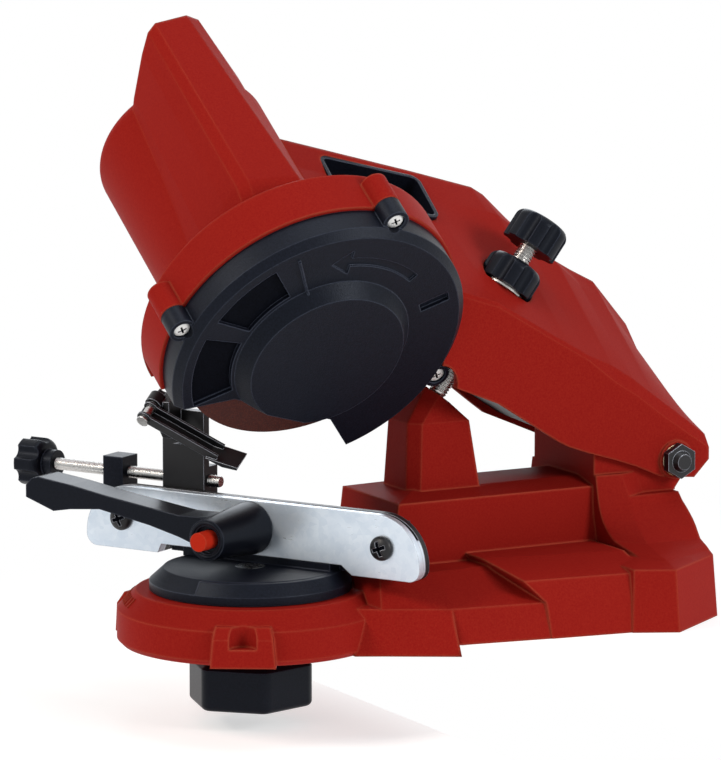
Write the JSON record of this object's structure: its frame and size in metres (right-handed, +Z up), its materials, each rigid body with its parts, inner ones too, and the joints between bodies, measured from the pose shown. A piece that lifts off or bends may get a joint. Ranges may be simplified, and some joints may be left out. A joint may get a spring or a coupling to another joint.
{
  "type": "saw chain sharpener",
  "caption": "Bench sharpener for saw chain: a motor head with a thin grinding disc swings on a hinged arm down to a chain vice that swivels, clamps and sets the tooth stop.",
  "frame": {"origin": "swivel axis of the chain vice at the level of the bench top", "axes": "+Z up, +Y from the vice back to the hinge of the grinding head, +X to the operator's right"},
  "size_m": [0.2051, 0.2629, 0.2717],
  "materials": {
    "red_plastic": "satin, fine texture",
    "black_plastic": "satin, fine texture",
    "red_button": "gloss",
    "abrasive": "rough, grainy",
    "zinc_plate": "pale zinc plating",
    "bright_steel": "machined, bright",
    "black_steel": "black, satin",
    "magnet": "dark, matte",
    "brass": "plain",
    "rubber": "matte"
  },
  "bodies": {
    "base": {"base_housing": "red_plastic", "hinge_bolt": "black_steel", "hinge_nut": "black_steel"},
    "head": {"arm_housing": "red_plastic", "arm_bottom_cover": "black_plastic", "motor_housing": "red_plastic", "wheel_cover": "black_plastic", "cover_screws": "bright_steel", "hinge_bushes": "brass", "switch_tray": "black_plastic", "cord_inlet": "rubber", "motor_can": "bright_steel", "motor_magnets": "magnet", "motor_front_bearing": "bright_steel", "motor_rear_bearing": "bright_steel"},
    "disc": {"motor_shaft": "bright_steel", "armature": "magnet", "inner_flange": "bright_steel", "grinding_disc": "abrasive", "outer_flange": "bright_steel", "arbor_nut": "bright_steel"},
    "switch": {"rocker_switch": "black_plastic"},
    "depth_screw": {"depth_screw": "bright_steel"},
    "depth_knob": {"depth_knob": "black_plastic"},
    "lock_washer": {"lock_washer": "bright_steel"},
    "lock_knob": {"lock_knob": "black_plastic"},
    "vice": {"turntable": "black_plastic", "front_jaw_plate": "zinc_plate", "rear_jaw_plate": "black_steel", "slot_spacer": "zinc_plate", "jaw_screws": "black_steel", "swivel_bolt": "bright_steel", "clamp_stud": "bright_steel"},
    "lever": {"clamp_lever": "black_plastic"},
    "button": {"release_button": "red_button"},
    "feed_screw": {"feed_screw": "bright_steel", "feed_knob": "black_plastic"},
    "slider": {"stop_slider": "black_steel", "pawl_pin": "bright_steel"},
    "pawl": {"stop_pawl": "black_steel"},
    "clamp_washer": {"clamp_washer": "bright_steel"},
    "clamp_knob": {"clamp_knob": "black_plastic"}
  },
  "joints": [
    {"name": "head_pivot", "type": "hinge", "parent": "base", "child": "head", "pos_m": [0, 0.181, 0.059], "axis": [-1, 0, 0], "range_deg": [0, 45]},
    {"name": "disc_spin", "type": "hinge", "parent": "head", "child": "disc", "pos_m": [0.0297, 0.0121, 0.1238], "axis": [0.829, 0, -0.5592], "continuous": true},
    {"name": "switch_rock", "type": "hinge", "parent": "head", "child": "switch", "pos_m": [-0.03483, 0.07241, 0.16303], "axis": [0.8754, -0.121, -0.468], "range_deg": [0, 16]},
    {"name": "depth_screw_slide", "type": "slide", "parent": "head", "child": "depth_screw", "axis": [0, 0.6, 0.8], "range_m": [0, 0.012]},
    {"name": "depth_knob_turn", "type": "hinge", "parent": "depth_screw", "child": "depth_knob", "pos_m": [0.005, 0.1283, 0.1525], "axis": [0, 0.6, 0.8], "range_deg": [0, 3460]},
    {"name": "lock_washer_slide", "type": "slide", "parent": "head", "child": "lock_washer", "axis": [0, 0.6, 0.8], "range_m": [0, 0.0025]},
    {"name": "lock_knob_turn", "type": "hinge", "parent": "lock_washer", "child": "lock_knob", "pos_m": [0.005, 0.1163, 0.1365], "axis": [0, 0.6, 0.8], "range_deg": [0, 725]},
    {"name": "vice_swivel", "type": "hinge", "parent": "base", "child": "vice", "pos_m": [0, 0, 0.0178], "axis": [0, 0, 1], "range_deg": [-65, 5]},
    {"name": "lever_turn", "type": "hinge", "parent": "vice", "child": "lever", "pos_m": [0.00154, -0.01066, 0.0406], "axis": [-0.5, 0.866, 0], "range_deg": [-15, 40]},
    {"name": "button_press", "type": "slide", "parent": "lever", "child": "button", "axis": [-0.5, 0.866, 0], "range_m": [0, 0.0025], "stiffness_N_per_m": 300, "springref_m": -0.001},
    {"name": "feed_knob_turn", "type": "hinge", "parent": "vice", "child": "feed_screw", "pos_m": [-0.11132, -0.04118, 0.055], "axis": [0.866, 0.5, 0], "range_deg": [-1805, 1805]},
    {"name": "stop_slide", "type": "slide", "parent": "vice", "child": "slider", "axis": [0.866, 0.5, 0], "range_m": [-0.004, 0.004]},
    {"name": "pawl_swing", "type": "hinge", "parent": "slider", "child": "pawl", "pos_m": [-0.04192, -0.02639, 0.082], "axis": [0.4096, -0.7094, -0.5736], "range_deg": [0, 18], "stiffness_Nm_per_rad": 0.02, "springref_deg": -34.38},
    {"name": "clamp_washer_slide", "type": "slide", "parent": "vice", "child": "clamp_washer", "axis": [0, 0, -1], "range_m": [0, 0.0026]},
    {"name": "clamp_knob_turn", "type": "hinge", "parent": "clamp_washer", "child": "clamp_knob", "pos_m": [0, 0, -0.018], "axis": [0, 0, -1], "range_deg": [0, 540]}
  ],
  "couplings": [
    {"joint": "depth_knob_turn", "follows": "depth_screw_slide", "rad_per_m": 5026.5},
    {"joint": "lock_knob_turn", "follows": "lock_washer_slide", "rad_per_m": 5026.5},
    {"joint": "feed_knob_turn", "follows": "stop_slide", "rad_per_m": 7854},
    {"joint": "clamp_knob_turn", "follows": "clamp_washer_slide", "rad_per_m": 3590.4}
  ]
}
